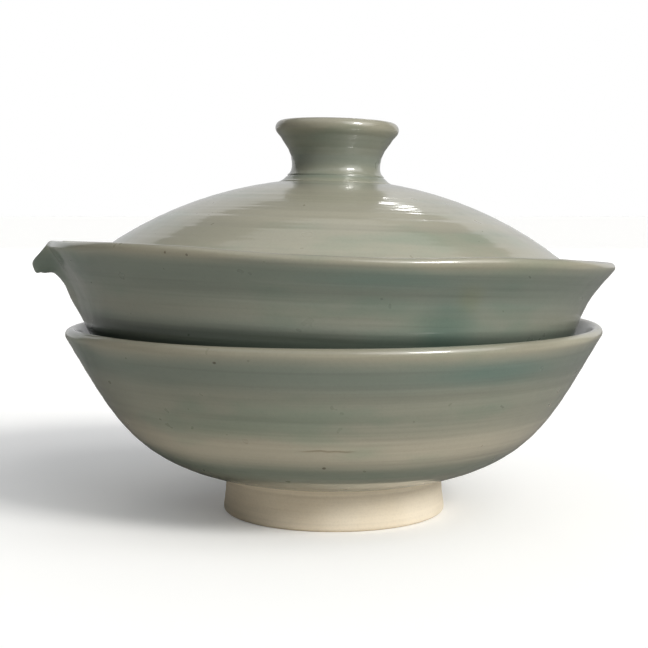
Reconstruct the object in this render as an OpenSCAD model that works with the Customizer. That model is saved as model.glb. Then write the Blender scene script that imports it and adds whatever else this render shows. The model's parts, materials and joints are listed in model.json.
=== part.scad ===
// A gaiwan set: a drinking bowl, a spouted pouring bowl nested in it, and a domed lid.
// Z is up. The origin is the centre of the drinking bowl's foot, on the table.
// X runs across the spout, which points along -X.

/* [Drinking bowl] */
// Radius over the rim
cup_r = 57.7; // [56.5:0.1:60]
// Height of the rim above the table
cup_h = 41.1; // [40:0.1:43]
// Radius of the rounded lip's cross-section
cup_lip_r = 1.2; // [0.9:0.05:1.4]
// Slope of the wall where it meets the lip, from the horizontal
cup_lip_slope = 60; // [57:1:64]
// Height of the floor inside, above the table
cup_floor_z = 10.7; // [10.4:0.1:11.2]
// Radius of the round floor that the pouring bowl's foot rests on
seat_r = 60; // [58:0.5:66]

/* [Drinking bowl foot] */
// Radius of the foot where it stands on the table
cup_foot_r = 24.3; // [22:0.1:26]
// Radius of the foot where it meets the bowl
cup_foot_top_r = 23.7; // [22:0.1:25]
// Height of the foot
cup_foot_h = 8.4; // [7.8:0.1:8.8]
// Width of the foot's standing ring
cup_foot_w = 4.2; // [3:0.1:6]
// Depth of the hollow turned out of the foot
cup_recess = 5.2; // [4.6:0.1:5.8]

/* [Pouring bowl] */
// Radius over the rim
bowl_r = 60.1; // [59:0.1:62]
// Height of the rim above the table
bowl_top = 56.3; // [56:0.1:57]
// Radius of the rounded lip's cross-section
bowl_lip_r = 1.1; // [0.8:0.05:1.3]
// Slope of the flare where it meets the lip, from the horizontal
bowl_lip_slope = 52; // [46:1:58]
// Outer radius of the waist below the flare
waist_r = 52; // [51:0.1:52.4]
// Height of the waist above the table
waist_z = 38.5; // [37:0.1:40]
// Thickness of the wall at the waist
waist_wall = 2.6; // [2.2:0.1:3.4]
// Thickness of the floor
bowl_floor = 4; // [3.2:0.1:5]
// Underside of the floor, where the foot ring starts
bowl_base_z = 19.5; // [19:0.1:20]

/* [Pouring bowl foot] */
// Outer radius of the foot ring at its top
bowl_foot_r = 24.3; // [23.4:0.1:24.5]
// Width of the foot ring
bowl_foot_w = 4; // [3:0.1:5]
// Gap between the foot ring and the floor that it rests on
seat_gap = 0.3; // [0.2:0.05:0.5]

/* [Spout] */
// Distance of the spout's tip from the bowl's axis
spout_reach = 65.4; // [63:0.1:68]
// Outer radius of the spout's trough
spout_r = 7.6; // [6:0.1:9]
// Thickness of the trough
spout_wall = 2.1; // [1.6:0.1:2.6]
// Height of the trough's centre line above the table
spout_z = 56.4; // [55.5:0.1:57]
// Slope of the spout's two free edges, from the horizontal
spout_cut = 48; // [40:1:60]
// Outer radius of the groove that leads up the wall to the spout
groove_r = 8; // [7:0.1:8.4]
// Slope of the groove, from the horizontal
groove_slope = 57.5; // [56:0.5:60]
// Distance from the bowl's axis at which the groove's centre line starts
groove_start_r = 42.6; // [42:0.1:43]
// Height above the table at which the groove's centre line starts
groove_start_z = 37.3; // [37:0.1:38]

/* [Lid] */
// Radius of the lid at its edge
lid_r = 53.5; // [52:0.1:53.6]
// Radius of the dome's sphere
dome_r = 82.5; // [81:0.5:84]
// Height of the dome's crown above the table
crown_z = 71.95; // [71.8:0.05:72.4]
// Thickness of the dome
dome_wall = 2.4; // [2:0.1:3]
// Sideways play of the lid in the flare
lid_shift = -0.2; // [-0.3:0.1:0.2]
// How much nearer to level the lid lies than the bowl, across the spout
lid_level = 0.5; // [0:0.1:0.6]

/* [Knob] */
// Radius over the knob's lip
knob_r = 13.35; // [12.4:0.05:14]
// Radius of the neck
neck_r = 9.55; // [8.6:0.05:10.4]
// Radius of the knob where it meets the dome
knob_base_r = 12.2; // [11.4:0.1:13]
// Height of the knob's top above the table
knob_top = 84.15; // [82.5:0.05:85.5]
// Radius of the rounded lip's cross-section
knob_lip_r = 1.55; // [1.2:0.05:1.8]
// Depth of the dish in the knob's top
dish_depth = 6; // [4.5:0.1:7]

/* [Pose] */
// How far the pouring bowl and its lid lean from upright
lean = 2.7; // [0:0.05:2.8]
// Direction that they lean towards, from +X turning to +Y
lean_dir = 35; // [0:1:60]
// How far the leaning bowl lies along X, and how far it is raised for that
seat_shift = [0.5, 0.2]; // [0:0.05:0.6]

/* [Hidden] */
curve_steps = 18;
lip_steps = 8;
$fn = 180;

// Centre of the drinking bowl's round floor, which is also the point the bowls lean about
seat_z = cup_floor_z + seat_r;
// Half-angle of the round floor, before the wall starts to turn up
seat_angle = 21;

glaze = "#7b8577";
pale_glaze = "#a3a08c";
bare_clay = "#c9bca3";

// The point at a distance from p, in a direction given by its slope
function step(p, slope, dist) = p + dist * [cos(slope), sin(slope)];

// A point on the cubic curve with end points a and d and handles b and c
function on_curve(a, b, c, d, t) =
    pow(1 - t, 3) * a + 3 * pow(1 - t, 2) * t * b + 3 * (1 - t) * t * t * c + t * t * t * d;

function curve(a, b, c, d) = [for (i = [0:curve_steps]) on_curve(a, b, c, d, i / curve_steps)];

function arc(centre, r, from, to, steps) =
    [for (i = [0:steps]) step(centre, from + (to - from) * i / steps, r)];

// Centre of the rounded lip that tops a wall, and the two points where the wall meets it
function lip_centre(rim_r, top, r) = [rim_r - r, top - r];
function lip_outer(rim_r, top, r, slope) = step(lip_centre(rim_r, top, r), slope - 90, r);
function lip_inner(rim_r, top, r, slope) = step(lip_centre(rim_r, top, r), slope + 90, r);
function lip_arc(rim_r, top, r, slope) =
    arc(lip_centre(rim_r, top, r), r, slope - 90, slope + 90, lip_steps);

// Each wall is a cubic curve. A handle is the length, or the step, from an end of the curve to the
// handle point that sets how far the curve holds its slope there.
foot_overlap = 0.4;
cup_base_slope = 10.6;
cup_base_handle = 20.6;
cup_lip_handle = 18.3;
cup_inner_slope = 70;
cup_inner_handle = 8.4;
seat_handle = 23;
waist_slope = 80;
waist_handle = 9.5;
waist_in_handle = 10;
waist_low_handle = [3.8, 10.5];
waist_in_low_handle = [4.9, 12.5];
flare_handle = 5.5;
flare_in_handle = 5;
bowl_base_slope = 6;
bowl_base_handle = 9.5;
bowl_floor_flat = 26;
neck_height = 3.6;
neck_handles = [1.7, 2.9];
knob_base_handle = [-1.9, 0.5];
knob_flare_slope = 52;
knob_flare_handle = 2.3;
dish_handles = [9.9, 8.2];
dish_drop = 2;

// Drinking bowl: its outer face from the foot to the lip, and its inner face from the lip down
cup_out = lip_outer(cup_r, cup_h, cup_lip_r, cup_lip_slope);
cup_in = lip_inner(cup_r, cup_h, cup_lip_r, cup_lip_slope);
cup_base = [cup_foot_top_r + foot_overlap, cup_foot_h];
cup_seat_edge = step([0, seat_z], seat_angle - 90, seat_r);
cup_outer = curve(
    cup_base,
    step(cup_base, cup_base_slope, cup_base_handle),
    step(cup_out, cup_lip_slope, -cup_lip_handle),
    cup_out);
cup_inner = concat(
    curve(
        cup_in,
        step(cup_in, cup_inner_slope, -cup_inner_handle),
        step(cup_seat_edge, seat_angle, seat_handle),
        cup_seat_edge),
    arc([0, seat_z], seat_r, seat_angle - 90, -90, lip_steps));

// Pouring bowl: the hidden lower wall, the flare above it, and the same two inside
flare_out = lip_outer(bowl_r, bowl_top, bowl_lip_r, bowl_lip_slope);
flare_in = lip_inner(bowl_r, bowl_top, bowl_lip_r, bowl_lip_slope);
waist = [waist_r, waist_z];
waist_in = waist - [waist_wall, 0];
bowl_base_overlap = 0.2;
bowl_base = [bowl_foot_r + bowl_base_overlap, bowl_base_z];
bowl_floor_z = bowl_base_z + bowl_floor;
bowl_outer = concat(
    curve(
        bowl_base,
        step(bowl_base, bowl_base_slope, bowl_base_handle),
        waist - waist_low_handle,
        waist),
    curve(
        waist,
        step(waist, waist_slope, waist_handle),
        step(flare_out, bowl_lip_slope, -flare_handle),
        flare_out));
bowl_inner = concat(
    curve(
        flare_in,
        step(flare_in, bowl_lip_slope, -flare_in_handle),
        step(waist_in, waist_slope, waist_in_handle),
        waist_in),
    curve(
        waist_in,
        waist_in - waist_in_low_handle,
        [bowl_floor_flat, bowl_floor_z],
        [0, bowl_floor_z]));

// The block that the spout is cut from, and how far its top lies below the rim
spout_block = 30;
spout_below_rim = 0.5;

// The foot ring's lower outer edge lies one gap above the round floor
foot_taper = 1.3;
bowl_foot_low_r = bowl_foot_r - foot_taper;
bowl_foot_z = seat_z - sqrt(pow(seat_r - seat_gap, 2) - pow(bowl_foot_low_r, 2));

// Lid: the dome is a sphere, cut flat where the knob stands and rounded at the edge
dome_centre = [0, crown_z - dome_r];
edge_r = dome_wall / 2;
edge_tilt = asin((lid_r - edge_r) / (dome_r - edge_r));
knob_z = dome_centre[1] + sqrt(dome_r * dome_r - knob_base_r * knob_base_r);

// Knob: a neck that spreads at the foot and flares to a rounded lip around a dish
knob_lip = [knob_r - knob_lip_r, knob_top - knob_lip_r];
neck = [neck_r, knob_z + neck_height];
knob_lip_ends = [-42, 105];
knob_flare_end = step(knob_lip, knob_lip_ends[0], knob_lip_r);
dish_edge = step(knob_lip, knob_lip_ends[1], knob_lip_r);
dish_z = knob_top - dish_depth;

// Puts the pouring bowl or its foot where it leans in the drinking bowl
module leaning() {
    translate([seat_shift[0], 0, seat_shift[1] + seat_z])
        rotate([0, 0, lean_dir])
            rotate([0, lean, 0])
                rotate([0, 0, -lean_dir])
                    translate([0, 0, -seat_z])
                        children();
}

module cup() {
    color(glaze)
        rotate_extrude()
            polygon(concat(
                [[0, cup_foot_h]],
                cup_outer,
                lip_arc(cup_r, cup_h, cup_lip_r, cup_lip_slope),
                cup_inner));
}

module cup_foot() {
    edge = 0.7;
    recess_slant = 1.5;
    inner_r = cup_foot_r - cup_foot_w;
    color(bare_clay)
        rotate_extrude()
            polygon(concat(
                [[0, cup_recess], [inner_r - recess_slant, cup_recess]],
                [[inner_r, edge], [inner_r + edge, 0]],
                [[cup_foot_r - edge, 0], [cup_foot_r, edge]],
                [[cup_foot_top_r, cup_foot_h], [0, cup_foot_h]]));
}

// The hollow of the pouring bowl, which the spout's trough has to be kept out of
module bowl_hollow() {
    above = 5;
    rotate_extrude()
        polygon(concat([[0, bowl_top + above], [flare_in[0], bowl_top + above]], bowl_inner));
}

// A round bar along the spout, from inside the bowl to past its tip
module trough(r) {
    past_tip = 4;
    length = 20;
    translate([-spout_reach - past_tip, 0, spout_z])
        rotate([0, 90, 0])
            cylinder(r = r, h = length);
}

// A round bar that climbs the wall below the spout and ends inside the trough
module groove(r) {
    length = 24;
    translate([-groove_start_r, 0, groove_start_z])
        rotate([0, groove_slope - 90, 0])
            cylinder(r = r, h = length);
}

// All the space on the bowl's side of the spout's sloping free edges
module behind_spout_cut() {
    size = 60;
    lip_height = 0.2;
    translate([-spout_reach, 0, spout_z - spout_r + spout_wall + lip_height])
        rotate([0, -spout_cut, 0])
            translate([0, -size / 2, -size])
                cube(size);
}

module bowl() {
    color(glaze)
        leaning()
            difference() {
                union() {
                    rotate_extrude()
                        polygon(concat(
                            [[0, bowl_base_z]],
                            bowl_outer,
                            lip_arc(bowl_r, bowl_top, bowl_lip_r, bowl_lip_slope),
                            bowl_inner));
                    difference() {
                        intersection() {
                            union() {
                                trough(spout_r);
                                groove(groove_r);
                            }
                            behind_spout_cut();
                            translate([-spout_reach, -spout_block / 2, 0])
                                cube([spout_block, spout_block, bowl_top - spout_below_rim]);
                        }
                        bowl_hollow();
                    }
                }
                trough(spout_r - spout_wall);
                groove(groove_r - spout_wall);
            }
}

module bowl_foot() {
    inner_r = bowl_foot_r - bowl_foot_w;
    inner_taper = 0.8;
    color(bare_clay)
        leaning()
            rotate_extrude()
                polygon([
                    [inner_r, bowl_base_z],
                    [inner_r + inner_taper, bowl_foot_z],
                    [bowl_foot_low_r, bowl_foot_z],
                    [bowl_foot_r, bowl_base_z]]);
}

// Puts the lid or the knob where it lies in the pouring bowl, turned about the dome's crown
module on_bowl() {
    leaning()
        translate([lid_shift, 0, crown_z])
            rotate([0, -lid_level, 0])
                translate([0, 0, -crown_z])
                    children();
}

module lid() {
    color(pale_glaze)
        on_bowl()
            rotate_extrude()
                polygon(concat(
                    [[0, knob_z]],
                    arc(dome_centre, dome_r, 90 - asin(knob_base_r / dome_r), 90 - edge_tilt,
                        curve_steps),
                    arc(step(dome_centre, 90 - edge_tilt, dome_r - edge_r), edge_r,
                        90 - edge_tilt, -90 - edge_tilt, lip_steps),
                    arc(dome_centre, dome_r - dome_wall, 90 - edge_tilt, 90, curve_steps)));
}

module knob() {
    color(pale_glaze)
        on_bowl()
            rotate_extrude()
                polygon(concat(
                    [[0, knob_z]],
                    curve(
                        [knob_base_r, knob_z],
                        [knob_base_r, knob_z] + knob_base_handle,
                        neck - [0, neck_handles[0]],
                        neck),
                    curve(
                        neck,
                        neck + [0, neck_handles[1]],
                        step(knob_flare_end, knob_flare_slope, -knob_flare_handle),
                        knob_flare_end),
                    arc(knob_lip, knob_lip_r, knob_lip_ends[0], knob_lip_ends[1], lip_steps),
                    curve(
                        dish_edge,
                        [dish_handles[0], knob_top - dish_drop],
                        [dish_handles[1], dish_z],
                        [0, dish_z])));
}

cup();
cup_foot();
bowl();
bowl_foot();
lid();
knob();
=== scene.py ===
"""A gaiwan set in celadon glaze: a drinking bowl, a spouted pouring bowl nested in it, and a lid."""
import json
from math import asin, cos, degrees, hypot, pi, radians, sin

import bpy
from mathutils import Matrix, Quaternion, Vector


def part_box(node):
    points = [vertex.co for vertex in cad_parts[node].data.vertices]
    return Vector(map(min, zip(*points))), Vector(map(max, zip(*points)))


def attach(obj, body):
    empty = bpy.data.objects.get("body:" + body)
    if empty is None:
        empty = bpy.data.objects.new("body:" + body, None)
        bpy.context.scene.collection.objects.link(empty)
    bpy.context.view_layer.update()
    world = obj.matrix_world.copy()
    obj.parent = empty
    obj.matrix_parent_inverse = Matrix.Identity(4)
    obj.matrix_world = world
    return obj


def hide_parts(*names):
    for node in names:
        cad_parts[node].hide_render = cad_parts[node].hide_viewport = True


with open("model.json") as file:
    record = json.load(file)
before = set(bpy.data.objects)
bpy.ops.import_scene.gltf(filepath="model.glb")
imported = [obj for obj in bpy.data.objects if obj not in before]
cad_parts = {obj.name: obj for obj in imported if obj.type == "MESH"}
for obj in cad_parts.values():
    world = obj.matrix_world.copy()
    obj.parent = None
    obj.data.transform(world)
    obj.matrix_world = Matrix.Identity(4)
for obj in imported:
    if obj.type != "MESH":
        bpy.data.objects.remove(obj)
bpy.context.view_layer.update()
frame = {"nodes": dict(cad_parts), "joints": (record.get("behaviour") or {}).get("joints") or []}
scene = bpy.context.scene
scene.view_settings.view_transform = "Standard"

MM = 0.001
UP = Vector((0, 0, 1))

# ---- where the pots stand ----

# The drinking bowl's floor is part of a ball, and the pouring bowl leans about that ball's centre
FLOOR_BALL_R = 60 * MM
FLOOR_Z = 10.7 * MM
BALL = Vector((0, 0, FLOOR_Z + FLOOR_BALL_R))
LEAN_CENTRE = BALL + Vector((0.5 * MM, 0, 0.2 * MM))
lid_lift = next(joint for joint in frame["joints"] if joint["name"] == "lid_lift")
LEAN = UP.rotation_difference(Vector(lid_lift["axis"]))

# The lid lies a little nearer to level than the pouring bowl, and a little to one side in it
CROWN = Vector((0, 0, 71.95 * MM))
LID_PLAY = Vector((-0.2 * MM, 0, 0))
LID_LEVEL = Quaternion((0, 1, 0), radians(-0.5))

# How deep the ridges from throwing are, and how far a pot is out of round
OUTER_RIDGE = 0.018 * MM
INNER_RIDGE = 0.03 * MM
BOWL_INNER_RIDGE = 0.02 * MM
DOME_RIDGE = 0.012 * MM
BOWL_WOBBLE = 0.35 * MM
LID_WOBBLE = 0.3 * MM
FOOT_WOBBLE = 0.2 * MM
WOBBLE_WIDTH = 0.05
FOOT_WOBBLE_WIDTH = 0.03
LIP_STEPS = 12


def standing(is_lid):
    """The turn and the move that take an upright pouring bowl, or an upright lid, to its place."""
    move = LEAN_CENTRE - LEAN @ BALL
    if not is_lid:
        return LEAN, move
    turn = LEAN @ LID_LEVEL
    return turn, move + LEAN @ (CROWN + LID_PLAY) - turn @ CROWN


def upright(node, is_lid=False):
    """The largest radius and the lowest and highest points of a node, along its own leaning axis."""
    turn, move = standing(is_lid)
    points = [turn.inverted() @ (v.co - move) for v in frame["nodes"][node].data.vertices]
    heights = [p.z for p in points]
    return max(hypot(p.x, p.y) for p in points), min(heights), max(heights)


# ---- camera, light and floor ----

def look_from(place, tilt, lens):
    camera_data = bpy.data.cameras.new("camera")
    camera = bpy.data.objects.new("camera", camera_data)
    scene.collection.objects.link(camera)
    camera.location = place
    camera.rotation_euler = (radians(90 - tilt), 0, 0)
    camera_data.lens = lens
    camera_data.sensor_width = 36
    camera_data.clip_start = 0.01
    scene.camera = camera


def softbox(name, azimuth, elevation, distance, width, height, power, colour=(1, 1, 1)):
    """An area light that faces the set. Azimuth 0 is in front, and positive is to the right."""
    aim = Vector((0, 0, 0.045))
    turn, rise = radians(azimuth), radians(elevation)
    away = Vector((sin(turn) * cos(rise), -cos(turn) * cos(rise), sin(rise)))
    data = bpy.data.lights.new(name, "AREA")
    data.shape = "RECTANGLE"
    data.size = width
    data.size_y = height
    data.energy = power
    data.color = colour
    light = bpy.data.objects.new(name, data)
    scene.collection.objects.link(light)
    light.location = aim + away * distance
    light.rotation_euler = away.to_track_quat("Z", "Y").to_euler()
    light.visible_camera = False


def daylight(name, azimuth, elevation, spread, strength, colour):
    """Light from one side, as from a window, with soft-edged shadows."""
    turn, rise = radians(azimuth), radians(elevation)
    away = Vector((sin(turn) * cos(rise), -cos(turn) * cos(rise), sin(rise)))
    data = bpy.data.lights.new(name, "SUN")
    data.angle = radians(spread)
    data.energy = strength
    data.color = colour
    light = bpy.data.objects.new(name, data)
    scene.collection.objects.link(light)
    light.rotation_euler = away.to_track_quat("Z", "Y").to_euler()


def white_room():
    """White for the camera, and a dimmer room for what the glaze reflects and is lit by."""
    world = bpy.data.worlds.new("white room")
    scene.world = world
    world.use_nodes = True
    nodes, links = world.node_tree.nodes, world.node_tree.links
    nodes.clear()
    path = nodes.new("ShaderNodeLightPath")
    room = nodes.new("ShaderNodeBackground")
    room.inputs["Color"].default_value = (0.93, 0.96, 1.0, 1)
    room.inputs["Strength"].default_value = 0.10
    backdrop = nodes.new("ShaderNodeBackground")
    backdrop.inputs["Color"].default_value = (1, 1, 1, 1)
    backdrop.inputs["Strength"].default_value = 1.0
    mix = nodes.new("ShaderNodeMixShader")
    out = nodes.new("ShaderNodeOutputWorld")
    links.new(path.outputs["Is Camera Ray"], mix.inputs["Fac"])
    links.new(room.outputs[0], mix.inputs[1])
    links.new(backdrop.outputs[0], mix.inputs[2])
    links.new(mix.outputs[0], out.inputs["Surface"])


def lay_floor():
    """White paper. It throws some light back at the pots, and shows dimly in their gloss."""
    bpy.ops.object.select_all(action="DESELECT")
    bpy.ops.mesh.primitive_plane_add(size=12)
    floor = bpy.context.object
    floor.name = "floor"
    paper = bpy.data.materials.new("white paper")
    paper.use_nodes = True
    nodes, links = paper.node_tree.nodes, paper.node_tree.links
    seen = nodes["Principled BSDF"]
    seen.inputs["Base Color"].default_value = (0.97, 0.97, 0.965, 1)
    seen.inputs["Roughness"].default_value = 1.0
    seen.inputs["Specular IOR Level"].default_value = 0.0
    seen.inputs["Emission Color"].default_value = (1, 1, 1, 1)
    seen.inputs["Emission Strength"].default_value = 0.11
    thrown_back = nodes.new("ShaderNodeBsdfDiffuse")
    thrown_back.inputs["Color"].default_value = (0.93, 0.89, 0.82, 1)
    in_the_gloss = nodes.new("ShaderNodeBsdfDiffuse")
    in_the_gloss.inputs["Color"].default_value = (0.22, 0.22, 0.21, 1)
    path = nodes.new("ShaderNodeLightPath")
    unseen = nodes.new("ShaderNodeMixShader")
    links.new(path.outputs["Is Glossy Ray"], unseen.inputs["Fac"])
    links.new(thrown_back.outputs[0], unseen.inputs[1])
    links.new(in_the_gloss.outputs[0], unseen.inputs[2])
    either = nodes.new("ShaderNodeMixShader")
    links.new(path.outputs["Is Camera Ray"], either.inputs["Fac"])
    links.new(unseen.outputs[0], either.inputs[1])
    links.new(seen.outputs[0], either.inputs[2])
    links.new(either.outputs[0], nodes["Material Output"].inputs["Surface"])
    floor.data.materials.append(paper)


# ---- outlines ----

def step(start, slope, distance):
    """The point at a distance from start, in the direction of a slope in degrees."""
    return (start[0] + distance * cos(radians(slope)), start[1] + distance * sin(radians(slope)))


def arc(centre, radius, start, end, steps):
    return [step(centre, start + (end - start) * i / steps, radius) for i in range(steps + 1)]


def curve(a, b, c, d, steps):
    """Points along the cubic curve from a to d with handles b and c."""
    points = []
    for i in range(steps + 1):
        t = i / steps
        weights = ((1 - t) ** 3, 3 * (1 - t) ** 2 * t, 3 * (1 - t) * t * t, t ** 3)
        points.append(tuple(sum(w * p[k] for w, p in zip(weights, (a, b, c, d))) for k in (0, 1)))
    return points


def chain(*stretches):
    """Joins stretches of outline, and drops the points that repeat where they meet."""
    points = []
    for stretch in stretches:
        for point in stretch:
            if not points or hypot(point[0] - points[-1][0], point[1] - points[-1][1]) > 1e-6:
                points.append(point)
    return points


def throwing_lines(outline, depth, seed=0.0):
    """Moves an outline in and out by the shallow ridges that a potter's fingers leave."""
    moved = [outline[0]]
    travel = 0.0
    for i in range(1, len(outline) - 1):
        before, here, after = outline[i - 1], outline[i], outline[i + 1]
        travel += hypot(here[0] - before[0], here[1] - before[1]) / MM
        along = (after[0] - before[0], after[1] - before[1])
        size = hypot(*along) or 1
        ridge = (sin(travel * 1.45 + seed) + 0.7 * sin(travel * 2.3 + 2 * seed) * sin(travel * 0.31)
                 + 0.45 * sin(travel * 4.1 + seed * 3))
        fade = min(1, i / 6, (len(outline) - 1 - i) / 6)
        push = depth * ridge * fade
        moved.append((max(here[0] + push * along[1] / size, 0), here[1] - push * along[0] / size))
    moved.append(outline[-1])
    return moved


# ---- making pots ----

def turn_on_wheel(name, outline, segments):
    """Draws an outline point by point at the wheel's edge, then spins it round Z into a closed wall."""
    bpy.ops.object.select_all(action="DESELECT")
    bpy.ops.mesh.primitive_plane_add(size=MM, location=(outline[0][0], 0, outline[0][1]))
    piece = bpy.context.object
    piece.name = piece.data.name = name
    bpy.ops.object.transform_apply(location=True, rotation=True, scale=True)
    bpy.ops.object.mode_set(mode="EDIT")
    bpy.ops.mesh.select_all(action="SELECT")
    bpy.ops.mesh.merge(type="CENTER")
    for here, there in zip(outline, outline[1:]):
        move = (there[0] - here[0], 0, there[1] - here[1])
        bpy.ops.mesh.extrude_region_move(TRANSFORM_OT_translate={"value": move})
    bpy.ops.mesh.select_all(action="SELECT")
    bpy.ops.mesh.spin(steps=segments, angle=2 * pi, center=(0, 0, 0), axis=(0, 0, 1))
    bpy.ops.mesh.select_all(action="SELECT")
    bpy.ops.mesh.remove_doubles(threshold=0.004 * MM)
    bpy.ops.mesh.normals_make_consistent(inside=False)
    bpy.ops.object.mode_set(mode="OBJECT")
    bpy.ops.object.shade_smooth()
    return piece


def hand_wobble(piece, height, width, middle=0.5):
    """Makes a pot slightly out of round, as a hand-thrown one is. Middle 1 only ever presses it in."""
    texture = bpy.data.textures.new("wobble", "CLOUDS")
    texture.noise_scale = width
    texture.noise_depth = 0
    bpy.ops.object.select_all(action="DESELECT")
    piece.select_set(True)
    bpy.context.view_layer.objects.active = piece
    wobble = piece.modifiers.new("wobble", "DISPLACE")
    wobble.texture = texture
    wobble.texture_coords = "LOCAL"
    wobble.strength = height
    wobble.mid_level = middle
    bpy.ops.object.modifier_apply(modifier=wobble.name)
    bpy.data.textures.remove(texture)


def set_leaning(piece, is_lid=False):
    """Tips an upright pot or lid to where it leans."""
    bpy.ops.object.select_all(action="DESELECT")
    piece.select_set(True)
    bpy.context.view_layer.objects.active = piece
    piece.rotation_mode = "QUATERNION"
    piece.rotation_quaternion, piece.location = standing(is_lid)
    bpy.ops.object.transform_apply(location=True, rotation=True, scale=True)
    piece.rotation_mode = "XYZ"


def pick(piece, chosen):
    """Selects the chosen points of a piece, ready to be worked on."""
    bpy.ops.object.select_all(action="DESELECT")
    piece.select_set(True)
    bpy.context.view_layer.objects.active = piece
    bpy.ops.object.mode_set(mode="EDIT")
    bpy.ops.mesh.select_mode(type="VERT")
    bpy.ops.mesh.select_all(action="DESELECT")
    bpy.ops.object.mode_set(mode="OBJECT")
    for vertex in piece.data.vertices:
        vertex.select = chosen(vertex.co)
    bpy.ops.object.mode_set(mode="EDIT")


def coax(piece, chosen, reach, move):
    """Moves the chosen points, and the clay within reach of them by less and less."""
    pick(piece, chosen)
    bpy.ops.transform.translate(
        value=move, use_proportional_edit=True, proportional_edit_falloff="SMOOTH",
        proportional_size=reach, use_proportional_connected=False)
    bpy.ops.object.mode_set(mode="OBJECT")


def smooth_clay(piece, chosen, times):
    """Rounds off what coaxing the clay has left sharp."""
    pick(piece, chosen)
    bpy.ops.mesh.vertices_smooth(factor=0.5, repeat=times)
    bpy.ops.object.mode_set(mode="OBJECT")


def nudge_rim(piece, rim_r, top, degrees_round, rise, reach):
    """Lifts or drops a short stretch of a rim. Degrees run from +X towards +Y."""
    place = Vector((rim_r * cos(radians(degrees_round)), rim_r * sin(radians(degrees_round)), top))
    coax(piece, lambda p: (p - place).length < 5 * MM, reach, (0, 0, rise))


# ---- the drinking bowl ----

def lip_points(rim_r, top, thickness, slope):
    """Centre of a rounded lip, and where the outer and inner faces of the wall meet it."""
    centre = (rim_r - thickness, top - thickness)
    return centre, step(centre, slope - 90, thickness), step(centre, slope + 90, thickness)


def drinking_bowl():
    low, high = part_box("cup")
    rim_r, top, base_z = high[0], high[2], low[2]
    lip_r, slope = 1.2 * MM, 60
    lip, lip_out, lip_in = lip_points(rim_r, top, lip_r, slope)
    base = (24.1 * MM, base_z)
    ball = (0, FLOOR_Z + FLOOR_BALL_R)
    floor_angle = 21
    floor_edge = step(ball, floor_angle - 90, FLOOR_BALL_R)
    outer = curve(base, step(base, 10.6, 20.6 * MM), step(lip_out, slope, -18.3 * MM), lip_out, 130)
    inner = curve(lip_in, step(lip_in, 70, -8.4 * MM), step(floor_edge, floor_angle, 23 * MM), floor_edge,
                  60)
    outline = chain(
        [(0, base_z), (15 * MM, base_z)],
        throwing_lines(outer, OUTER_RIDGE, 0.4),
        arc(lip, lip_r, slope - 90, slope + 90, LIP_STEPS),
        throwing_lines(inner, INNER_RIDGE, 2.0),
        arc(ball, FLOOR_BALL_R, floor_angle - 90, -90, 24))
    piece = turn_on_wheel("drinking_bowl_wall", outline, 192)
    nudge_rim(piece, rim_r, top, 172, -0.8 * MM, 42 * MM)
    hand_wobble(piece, BOWL_WOBBLE, WOBBLE_WIDTH)
    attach(piece, "drinking_bowl")
    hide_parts("cup")
    return piece


def drinking_bowl_foot():
    low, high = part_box("cup_foot")
    foot_r, foot_h = high[0], high[2]
    top_r = foot_r - 0.6 * MM
    inner_r = foot_r - 4.2 * MM
    edge, recess = 0.8 * MM, 5.2 * MM
    corner_r = 1.5 * MM
    hidden_top = foot_h + 0.3 * MM
    side = curve((foot_r, edge), (foot_r - 0.1 * MM, 3 * MM), (top_r - 0.15 * MM, 5.5 * MM),
                 (top_r, foot_h), 50)
    outline = chain(
        [(0, recess), (6 * MM, recess), (12 * MM, recess)],
        arc((inner_r - 2 * corner_r, recess - corner_r), corner_r, 90, 20, 8),
        arc((inner_r + edge, edge), edge, 180, 270, 8),
        arc((foot_r - edge, edge), edge, -90, 0, 8),
        throwing_lines(side, INNER_RIDGE, 1.0),
        [(top_r - 0.2 * MM, hidden_top), (12 * MM, hidden_top), (0, hidden_top)])
    piece = turn_on_wheel("drinking_bowl_foot", outline, 192)
    hand_wobble(piece, FOOT_WOBBLE, FOOT_WOBBLE_WIDTH, middle=1.0)
    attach(piece, "drinking_bowl")
    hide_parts("cup_foot")
    return piece


# ---- the pouring bowl ----

def spout_clay(out, half_width, low=0.0, high=1.0):
    """Chooses clay beyond a distance out along the spout, near its middle, between two heights."""
    return lambda p: p.x < -out and abs(p.y) < half_width and low < p.z < high


def pull_spout(piece, rim_r, top, reach):
    """A finger draws a groove up the wall and out, then turns the rim over it into a spout."""
    lip_z = top - 2.4 * MM
    coax(piece, spout_clay(45 * MM, 3 * MM, 46 * MM, 50 * MM), 16 * MM, (-1.5 * MM, 0, 0))
    coax(piece, spout_clay(46 * MM, 2 * MM, 45 * MM, 50.5 * MM), 8.5 * MM, (-1.8 * MM, 0, 0))
    coax(piece, spout_clay(rim_r - 2 * MM, 2 * MM, lip_z), 8 * MM, (rim_r - reach + 2.3 * MM, 0, 0))
    coax(piece, spout_clay(rim_r + 0.2 * MM, 2.6 * MM, lip_z), 5.4 * MM, (0, 0, -4.3 * MM))
    coax(piece, spout_clay(rim_r + 0.7 * MM, 3.6 * MM, top - 4.4 * MM, top - 1.8 * MM),
         2.6 * MM, (-0.9 * MM, 0, 0.1 * MM))
    smooth_clay(piece, spout_clay(rim_r - 1.5 * MM, 6 * MM, high=top - 0.8 * MM), 4)


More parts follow.
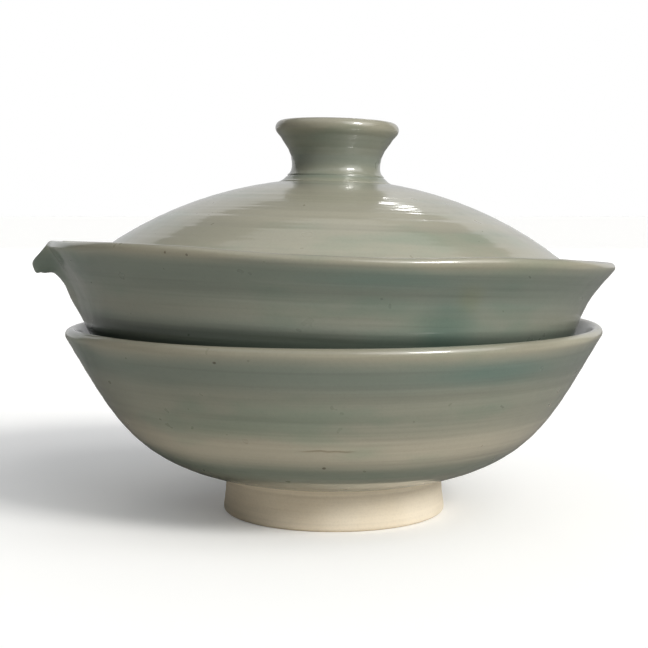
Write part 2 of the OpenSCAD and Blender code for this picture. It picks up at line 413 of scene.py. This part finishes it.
def pouring_bowl():
    reach, base_z, top = upright("bowl")
    rim_r = 60.1 * MM
    lip_r, slope = 1.1 * MM, 52
    lip, lip_out, lip_in = lip_points(rim_r, top, lip_r, slope)
    base = (24.5 * MM, base_z)
    waist = (52 * MM, 38.5 * MM)
    waist_in = (49.4 * MM, 38.5 * MM)
    waist_slope = 80
    floor = (0, base_z + 4 * MM)
    hidden = curve(base, step(base, 6, 9.5 * MM), (48.2 * MM, 28 * MM), waist, 50)
    flare = curve(waist, step(waist, waist_slope, 9.5 * MM), step(lip_out, slope, -5.5 * MM), lip_out, 70)
    inner_flare = curve(lip_in, step(lip_in, slope, -5 * MM), step(waist_in, waist_slope, 10 * MM),
                        waist_in, 50)
    inner = curve(waist_in, (44.5 * MM, 26 * MM), (26 * MM, floor[1]), floor, 60)
    outline = chain(
        [(0, base_z), (12 * MM, base_z), (20 * MM, base_z)],
        throwing_lines(chain(hidden, flare), OUTER_RIDGE, 1.7),
        arc(lip, lip_r, slope - 90, slope + 90, LIP_STEPS),
        throwing_lines(chain(inner_flare, inner), BOWL_INNER_RIDGE, 0.9))
    piece = turn_on_wheel("pouring_bowl_wall", outline, 320)
    pull_spout(piece, rim_r, top, reach)
    for around, rise in ((-52, 0.5 * MM), (-127, 0.45 * MM), (-90, -0.25 * MM)):
        nudge_rim(piece, rim_r, top, around, rise, 24 * MM)
    hand_wobble(piece, BOWL_WOBBLE, WOBBLE_WIDTH)
    set_leaning(piece)
    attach(piece, "pouring_bowl")
    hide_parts("bowl")
    return piece


def pouring_bowl_foot():
    top_r, low, high = upright("bowl_foot")
    taper = 1.3 * MM
    low_r = top_r - taper
    inner_r = top_r - 4 * MM
    edge = 0.5 * MM
    hidden_top = high + 0.2 * MM
    outline = chain(
        [(inner_r, hidden_top)],
        arc((inner_r + taper, low + edge), edge, 180, 270, 6),
        arc((low_r - edge, low + edge), edge, -90, 0, 6),
        [(top_r, hidden_top), (inner_r, hidden_top)])
    piece = turn_on_wheel("pouring_bowl_foot", outline, 128)
    set_leaning(piece)
    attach(piece, "pouring_bowl")
    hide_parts("bowl_foot")
    return piece


# ---- the lid ----

DOME_R = 82.5 * MM
DOME_WALL = 2.4 * MM
KNOB_BASE_R = 12.2 * MM


def lid_dome():
    lid_r, _, knob_z = upright("lid", is_lid=True)
    centre = (0, knob_z - (DOME_R ** 2 - KNOB_BASE_R ** 2) ** 0.5)
    edge_r = DOME_WALL / 2
    tilt = degrees(asin((lid_r - edge_r) / (DOME_R - edge_r)))
    start = 90 - degrees(asin(KNOB_BASE_R / DOME_R))
    outline = chain(
        [(0, knob_z), (8 * MM, knob_z)],
        throwing_lines(arc(centre, DOME_R, start, 90 - tilt, 150), DOME_RIDGE, 2.6),
        arc(step(centre, 90 - tilt, DOME_R - edge_r), edge_r, 90 - tilt, -90 - tilt, LIP_STEPS),
        throwing_lines(arc(centre, DOME_R - DOME_WALL, 90 - tilt, 90, 70), INNER_RIDGE, 0.2))
    piece = turn_on_wheel("lid_dome", outline, 192)
    hand_wobble(piece, LID_WOBBLE, WOBBLE_WIDTH)
    set_leaning(piece, is_lid=True)
    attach(piece, "cover")
    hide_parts("lid")
    return piece


def lid_knob():
    knob_r, low, top = upright("knob", is_lid=True)
    base_r, lip_r = KNOB_BASE_R, 1.55 * MM
    lip = (knob_r - lip_r, top - lip_r)
    lip_start, lip_end = -42, 105
    neck_r, neck_z = 9.55 * MM, low + 3.6 * MM
    groove_r, groove_z = 10.35 * MM, low + 1.25 * MM
    flare_end = step(lip, lip_start, lip_r)
    dish_edge = step(lip, lip_end, lip_r)
    dish_z = top - 6 * MM
    below_groove = curve((base_r, low), (base_r - 1.0 * MM, low + 0.35 * MM),
                         (groove_r + 0.6 * MM, groove_z - 0.3 * MM),
                         (groove_r + 0.25 * MM, groove_z - 0.12 * MM), 14)
    above_groove = curve((groove_r + 0.05 * MM, groove_z + 0.3 * MM), (9.9 * MM, groove_z + 0.7 * MM),
                         (neck_r, neck_z - 1.2 * MM), (neck_r, neck_z), 14)
    flare = curve((neck_r, neck_z), (neck_r, neck_z + 2.9 * MM), step(flare_end, 52, -2.3 * MM),
                  flare_end, 36)
    dish = curve(dish_edge, (9.9 * MM, top - 2 * MM), (8.2 * MM, dish_z), (0, dish_z), 36)
    outline = chain(
        [(0, low - 0.2 * MM), (6 * MM, low - 0.2 * MM), (base_r, low - 0.15 * MM)],
        below_groove,
        [(groove_r, groove_z), (groove_r + 0.1 * MM, groove_z + 0.15 * MM)],
        above_groove,
        throwing_lines(flare, INNER_RIDGE, 0.8),
        arc(lip, lip_r, lip_start, lip_end, 16),
        dish)
    piece = turn_on_wheel("lid_knob", outline, 160)
    set_leaning(piece, is_lid=True)
    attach(piece, "cover")
    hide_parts("knob")
    return piece


# ---- glaze and clay ----

# Half of how far a cloud shifts the edges of patches, in millimetres, and how far the bands wander
RAGGED_BY = (1.5, 1.5, 0.8)
BAND_WANDER = 3.2 * MM
SPECK = (0.09, 0.075, 0.05)
POOL_TINT = (0.66, 0.86, 0.82)


def link(tree, source, target):
    tree.links.new(source, target)


def pot_coordinates(tree, leaning):
    """Object coordinates turned upright, so that heights run along the pot's own axis."""
    coordinates = tree.nodes.new("ShaderNodeTexCoord").outputs["Object"]
    if not leaning:
        return coordinates
    turn, move = standing(leaning == "lid")
    mapping = tree.nodes.new("ShaderNodeMapping")
    mapping.vector_type = "TEXTURE"
    mapping.inputs["Location"].default_value = move
    mapping.inputs["Rotation"].default_value = turn.to_euler()
    link(tree, coordinates, mapping.inputs["Vector"])
    return mapping.outputs["Vector"]


def maths(tree, operation, a, b=None):
    node = tree.nodes.new("ShaderNodeMath")
    node.operation = operation
    for socket, value in zip(node.inputs, (a, b)):
        if value is None:
            continue
        if isinstance(value, (int, float)):
            socket.default_value = value
        else:
            link(tree, value, socket)
    return node.outputs[0]


def noise(tree, vector, scale, detail=3.0, roughness=0.55):
    node = tree.nodes.new("ShaderNodeTexNoise")
    node.inputs["Scale"].default_value = scale
    node.inputs["Detail"].default_value = detail
    node.inputs["Roughness"].default_value = roughness
    link(tree, vector, node.inputs["Vector"])
    return node.outputs["Fac"]


def ramp(tree, factor, stops, blending="B_SPLINE"):
    node = tree.nodes.new("ShaderNodeValToRGB")
    node.color_ramp.interpolation = blending
    elements = node.color_ramp.elements
    while len(elements) < len(stops):
        elements.new(0.5)
    for element, (place, colour) in zip(elements, stops):
        element.position = place
        element.color = (*colour, 1) if isinstance(colour, tuple) else (colour, colour, colour, 1)
    link(tree, factor, node.inputs["Fac"])
    return node.outputs["Color"]


def blend_colours(tree, factor, a, b, mode="MIX"):
    node = tree.nodes.new("ShaderNodeMix")
    node.data_type = "RGBA"
    node.blend_type = mode
    for socket, value in ((node.inputs["Factor"], factor), (node.inputs[6], a), (node.inputs[7], b)):
        if isinstance(value, tuple):
            socket.default_value = (*value, 1)
        elif isinstance(value, (int, float)):
            socket.default_value = value
        else:
            link(tree, value, socket)
    return node.outputs[2]


def squeezed(tree, vector, around, along):
    """Coordinates for streaks: drawn out round the pot, and packed close up its wall."""
    mapping = tree.nodes.new("ShaderNodeMapping")
    mapping.inputs["Scale"].default_value = (around, around, along)
    link(tree, vector, mapping.inputs["Vector"])
    return mapping.outputs["Vector"]


def patch(tree, place, centre, size, softness):
    """1 inside an egg-shaped space and 0 outside it. Centre and size are in millimetres."""
    mapping = tree.nodes.new("ShaderNodeMapping")
    mapping.vector_type = "TEXTURE"
    mapping.inputs["Location"].default_value = [c * MM for c in centre]
    mapping.inputs["Scale"].default_value = [c * MM for c in size]
    link(tree, place, mapping.inputs["Vector"])
    length = tree.nodes.new("ShaderNodeVectorMath")
    length.operation = "LENGTH"
    link(tree, mapping.outputs["Vector"], length.inputs[0])
    return ramp(tree, length.outputs["Value"], [(1 - softness, 1.0), (1.0, 0.0)], "EASE")


def one_channel(tree, colour):
    """One channel of a cell's random colour, used to pick a few cells."""
    node = tree.nodes.new("ShaderNodeSeparateColor")
    link(tree, colour, node.inputs[0])
    return node.outputs[0]


def inner_face(tree, place):
    """1 on the faces of a bowl that look in at a point above its floor, and 0 on the outside."""
    out_from_middle = tree.nodes.new("ShaderNodeVectorMath")
    out_from_middle.operation = "SUBTRACT"
    link(tree, place, out_from_middle.inputs[0])
    out_from_middle.inputs[1].default_value = (0, 0, 70 * MM)
    facing = tree.nodes.new("ShaderNodeVectorMath")
    facing.operation = "DOT_PRODUCT"
    link(tree, out_from_middle.outputs["Vector"], facing.inputs[0])
    link(tree, tree.nodes.new("ShaderNodeTexCoord").outputs["Normal"], facing.inputs[1])
    return maths(tree, "LESS_THAN", facing.outputs["Value"], 0)


def with_up_wall(tree, parts, up_wall):
    """Coordinates whose third part is the reading up the wall, for streaks that run round the pot."""
    around = tree.nodes.new("ShaderNodeCombineXYZ")
    link(tree, parts.outputs[0], around.inputs[0])
    link(tree, parts.outputs[1], around.inputs[1])
    link(tree, up_wall, around.inputs[2])
    return around.outputs[0]


def ragged_place(tree, place):
    """Coordinates shifted about by a cloud, which makes the edges of patches ragged."""
    cloud = tree.nodes.new("ShaderNodeTexNoise")
    cloud.inputs["Scale"].default_value = 150
    link(tree, place, cloud.inputs["Vector"])
    shifted = tree.nodes.new("ShaderNodeVectorMath")
    shifted.operation = "MULTIPLY_ADD"
    link(tree, cloud.outputs["Color"], shifted.inputs[0])
    shifted.inputs[1].default_value = [2 * half * MM for half in RAGGED_BY]
    link(tree, place, shifted.inputs[2])
    return shifted.outputs[0]


def with_patches(tree, place, base, patches):
    """Tints the patches. Each centre moves with the middle of the cloud that makes its edge ragged."""
    ragged = ragged_place(tree, place)
    for centre, size, softness, tint in patches:
        middle = [c + half for c, half in zip(centre, RAGGED_BY)]
        base = blend_colours(tree, patch(tree, ragged, middle, size, softness), base, tint, "MULTIPLY")
    return base


def with_specks(tree, place, base):
    """Small dark specks, one in a few of the cells that space is divided into."""
    cells = tree.nodes.new("ShaderNodeTexVoronoi")
    cells.inputs["Scale"].default_value = 150
    link(tree, place, cells.inputs["Vector"])
    dot = maths(tree, "LESS_THAN", cells.outputs["Distance"], 0.04)
    chosen = maths(tree, "GREATER_THAN", one_channel(tree, cells.outputs["Color"]), 0.965)
    strength = maths(tree, "MULTIPLY", dot, maths(tree, "MULTIPLY", chosen, 0.75))
    return blend_colours(tree, strength, base, SPECK)


def celadon(name, bands, low, high, leaning, patches=(), inner_bands=None, by_radius=False, streaky=1.0):
    """Glossy celadon: colour bands up the wall, throwing streaks, green pools, specks and fine bump."""
    material = bpy.data.materials.new(name)
    material.use_nodes = True
    tree = material.node_tree
    shader = tree.nodes["Principled BSDF"]
    place = pot_coordinates(tree, leaning)
    parts = tree.nodes.new("ShaderNodeSeparateXYZ")
    link(tree, place, parts.inputs[0])
    radius = maths(tree, "SQRT", maths(tree, "ADD", maths(tree, "POWER", parts.outputs[0], 2),
                                       maths(tree, "POWER", parts.outputs[1], 2)))
    up_wall = radius if by_radius else parts.outputs[2]
    wander = maths(tree, "MULTIPLY", maths(tree, "SUBTRACT", noise(tree, place, 22, 2), 0.5), BAND_WANDER)
    reading = tree.nodes.new("ShaderNodeMapRange")
    reading.inputs["From Min"].default_value = low
    reading.inputs["From Max"].default_value = high
    link(tree, maths(tree, "ADD", up_wall, wander), reading.inputs["Value"])
    base = ramp(tree, reading.outputs[0], bands)
    if inner_bands:
        base = blend_colours(tree, inner_face(tree, place), base, ramp(tree, reading.outputs[0], inner_bands))

    around = with_up_wall(tree, parts, up_wall)
    streaks = noise(tree, squeezed(tree, around, 6, 420), 1.0, 4, 0.6)
    fine_streaks = noise(tree, squeezed(tree, around, 14, 1500), 1.0, 2, 0.5)
    shades = ramp(tree, streaks, [(0.3, 0.80), (0.5, 1.0), (0.72, 1.16)])
    base = blend_colours(tree, streaky, base, shades, "MULTIPLY")
    fine_shades = ramp(tree, fine_streaks, [(0.3, 0.93), (0.7, 1.07)])
    base = blend_colours(tree, streaky, base, fine_shades, "MULTIPLY")
    base = with_patches(tree, place, base, patches)
    pools = ramp(tree, noise(tree, squeezed(tree, around, 26, 75), 1.0, 3, 0.6), [(0.50, 0.0), (0.68, 0.55)],
                 "EASE")
    base = blend_colours(tree, pools, base, POOL_TINT, "MULTIPLY")
    grain = ramp(tree, noise(tree, place, 1600, 2, 0.7), [(0.3, 0.94), (0.7, 1.05)])
    base = blend_colours(tree, 1.0, base, grain, "MULTIPLY")
    base = with_specks(tree, place, base)
    link(tree, base, shader.inputs["Base Color"])

    gloss = ramp(tree, noise(tree, place, 260, 2), [(0.3, 0.26), (0.7, 0.36)])
    link(tree, gloss, shader.inputs["Roughness"])
    shader.inputs["IOR"].default_value = 1.5
    shader.inputs["Coat Weight"].default_value = 0.8
    shader.inputs["Coat Roughness"].default_value = 0.07

    bump = tree.nodes.new("ShaderNodeBump")
    bump.inputs["Strength"].default_value = 0.5 * streaky
    bump.inputs["Distance"].default_value = 0.12 * MM
    relief = maths(tree, "ADD", streaks, maths(tree, "MULTIPLY", fine_streaks, 0.3))
    relief = maths(tree, "ADD", relief, maths(tree, "MULTIPLY", noise(tree, place, 420, 2), 0.25))
    link(tree, relief, bump.inputs["Height"])
    link(tree, bump.outputs[0], shader.inputs["Normal"])
    link(tree, bump.outputs[0], shader.inputs["Coat Normal"])
    return material


def bare_clay(name, leaning):
    """Unglazed buff clay: turning lines, sandy grain and a patchy, warmer blush."""
    material = bpy.data.materials.new(name)
    material.use_nodes = True
    tree = material.node_tree
    shader = tree.nodes["Principled BSDF"]
    place = pot_coordinates(tree, leaning)
    lines = noise(tree, squeezed(tree, place, 8, 900), 1.0, 4, 0.6)
    grain = noise(tree, place, 2200, 3, 0.7)
    blush = noise(tree, place, 70, 3, 0.5)
    base = ramp(tree, blush, [(0.3, WARM_CLAY), (0.7, PALE_CLAY)])
    base = blend_colours(tree, 1.0, base, ramp(tree, lines, [(0.3, 0.88), (0.7, 1.08)]), "MULTIPLY")
    base = blend_colours(tree, 1.0, base, ramp(tree, grain, [(0.3, 0.92), (0.7, 1.06)]), "MULTIPLY")
    link(tree, base, shader.inputs["Base Color"])
    link(tree, ramp(tree, grain, [(0.3, 0.78), (0.7, 0.92)]), shader.inputs["Roughness"])
    shader.inputs["Specular IOR Level"].default_value = 0.25
    bump = tree.nodes.new("ShaderNodeBump")
    bump.inputs["Strength"].default_value = 0.6
    bump.inputs["Distance"].default_value = 0.1 * MM
    link(tree, maths(tree, "ADD", lines, maths(tree, "MULTIPLY", grain, 0.5)), bump.inputs["Height"])
    link(tree, bump.outputs[0], shader.inputs["Normal"])
    return material


def finish_with(piece, material):
    piece.data.materials.clear()
    piece.data.materials.append(material)


# ---- the whole set ----

EYE = (-2.16 * MM, -307.5 * MM, 67.3 * MM)
EYE_TILT = 4.96
LENS = 78.5

look_from(EYE, EYE_TILT, LENS)
white_room()
lay_floor()
daylight("window", 43, 31, 16, 1.9, (1.0, 0.98, 0.94))
daylight("window glow", 46, 33, 58, 1.35, (1.0, 0.99, 0.97))
daylight("ceiling", 20, 76, 100, 0.9, (0.98, 0.99, 1.0))
softbox("backdrop", 180, 17, 1.6, 3.4, 1.16, 6.8)
softbox("far window", 169, 36.9, 1.5, 0.21, 0.05, 0.30)
softbox("small lamp", 33, 33, 1.2, 0.04, 0.04, 0.35)

RIM = (0.285, 0.272, 0.208)
GREEN = (0.19, 0.214, 0.178)
OLIVE = (0.232, 0.238, 0.192)
WARM = (0.40, 0.372, 0.298)
POOL = (0.165, 0.196, 0.158)
# Painted shade: a near-black green for the shade that falls in the gap between the two bowls
GAP_PAINTED_SHADE = (0.045, 0.061, 0.047)
TEAL = (0.150, 0.178, 0.150)
PALE = (0.39, 0.37, 0.288)
SAGE = (0.295, 0.29, 0.22)
WARM_CLAY = (0.70, 0.615, 0.48)
PALE_CLAY = (0.79, 0.715, 0.59)

# Where glaze ran thick or something stuck to it, and painted light on the right ends of the rims: centre,
# size, softness and tint
BOWL_PATCHES_AND_PAINTED_LIGHT = [
    ((20.5, -48, 44), (8, 10, 10), 0.95, (0.66, 0.80, 0.80)),
    ((8, -54, 52.4), (22, 12, 3.2), 0.9, (0.80, 0.95, 0.97)),
    ((25, -50, 49), (4, 10, 4), 0.9, (1.0, 0.97, 0.86)),
    # Painted light: the right end of the rim is lightened where the window light falls on it
    ((52, -28, 55), (16, 30, 3.2), 0.9, (1.16, 1.14, 1.14)),
    ((-30.8, -51.5, 55.2), (0.36, 0.36, 0.36), 0.6, (0.5, 0.42, 0.36)),
    ((-22.3, -52.1, 51.6), (0.4, 0.4, 0.3), 0.6, (0.45, 0.40, 0.34))]
CUP_PATCHES_AND_PAINTED_LIGHT = [
    ((30, -46, 35.5), (24, 18, 3.4), 0.9, (0.76, 0.93, 0.95)),
    # Painted light: the right end of the rim is lightened where the window light falls on it
    ((50, -28, 41), (18, 30, 2.4), 0.9, (1.3, 1.3, 1.32)),
    ((-1, -45, 20.6), (7, 5, 0.28), 0.5, (0.72, 0.68, 0.62)),
    ((-21.7, -52, 38.1), (0.7, 0.7, 0.45), 0.4, (0.35, 0.30, 0.25)),
    ((-2.2, -42.4, 17.0), (0.6, 0.6, 0.4), 0.4, (0.35, 0.30, 0.25))]

wall = drinking_bowl()
finish_with(wall, celadon("drinking bowl glaze", [
    (0.0, OLIVE), (0.12, OLIVE), (0.17, POOL), (0.22, POOL), (0.29, WARM), (0.41, WARM), (0.50, OLIVE),
    (0.70, OLIVE), (0.79, TEAL), (0.88, TEAL), (0.93, OLIVE), (0.96, RIM), (1.0, RIM)],
    8.4 * MM, 41.1 * MM, None, CUP_PATCHES_AND_PAINTED_LIGHT))
foot = drinking_bowl_foot()
finish_with(foot, bare_clay("drinking bowl clay", None))
bowl = pouring_bowl()
# The pouring bowl's outside below the waist carries painted shade, a near-black green for the gap between the
# bowls; the inside keeps its own bands
finish_with(bowl, celadon("pouring bowl glaze", [
    (0.0, GAP_PAINTED_SHADE), (0.575, GAP_PAINTED_SHADE), (0.625, GREEN), (0.68, OLIVE), (0.76, GREEN), (0.85, TEAL), (0.92, TEAL),
    (0.95, OLIVE), (0.97, RIM), (1.0, RIM)], 19.5 * MM, 56.3 * MM, "bowl", BOWL_PATCHES_AND_PAINTED_LIGHT, [
    (0.0, POOL), (0.14, POOL), (0.20, SAGE), (0.40, OLIVE), (0.55, GREEN), (0.66, OLIVE), (0.85, GREEN),
    (0.93, OLIVE), (0.97, RIM), (1.0, RIM)]))
bowl_foot = pouring_bowl_foot()
finish_with(bowl_foot, bare_clay("pouring bowl clay", "bowl"))
dome = lid_dome()
finish_with(dome, celadon("lid glaze", [
    (0.0, SAGE), (0.24, SAGE), (0.30, OLIVE), (0.40, PALE), (0.55, SAGE), (0.68, PALE), (0.80, SAGE),
    (0.92, PALE), (1.0, RIM)], 0.0, 53.5 * MM, "lid", by_radius=True, streaky=0.5))
knob = lid_knob()
finish_with(knob, celadon("knob glaze", [
    (0.0, SAGE), (0.08, POOL), (0.14, SAGE), (0.34, TEAL), (0.5, OLIVE), (0.72, GREEN), (0.86, RIM),
    (1.0, RIM)], 70.8 * MM, 84.1 * MM, "lid", streaky=0.7))
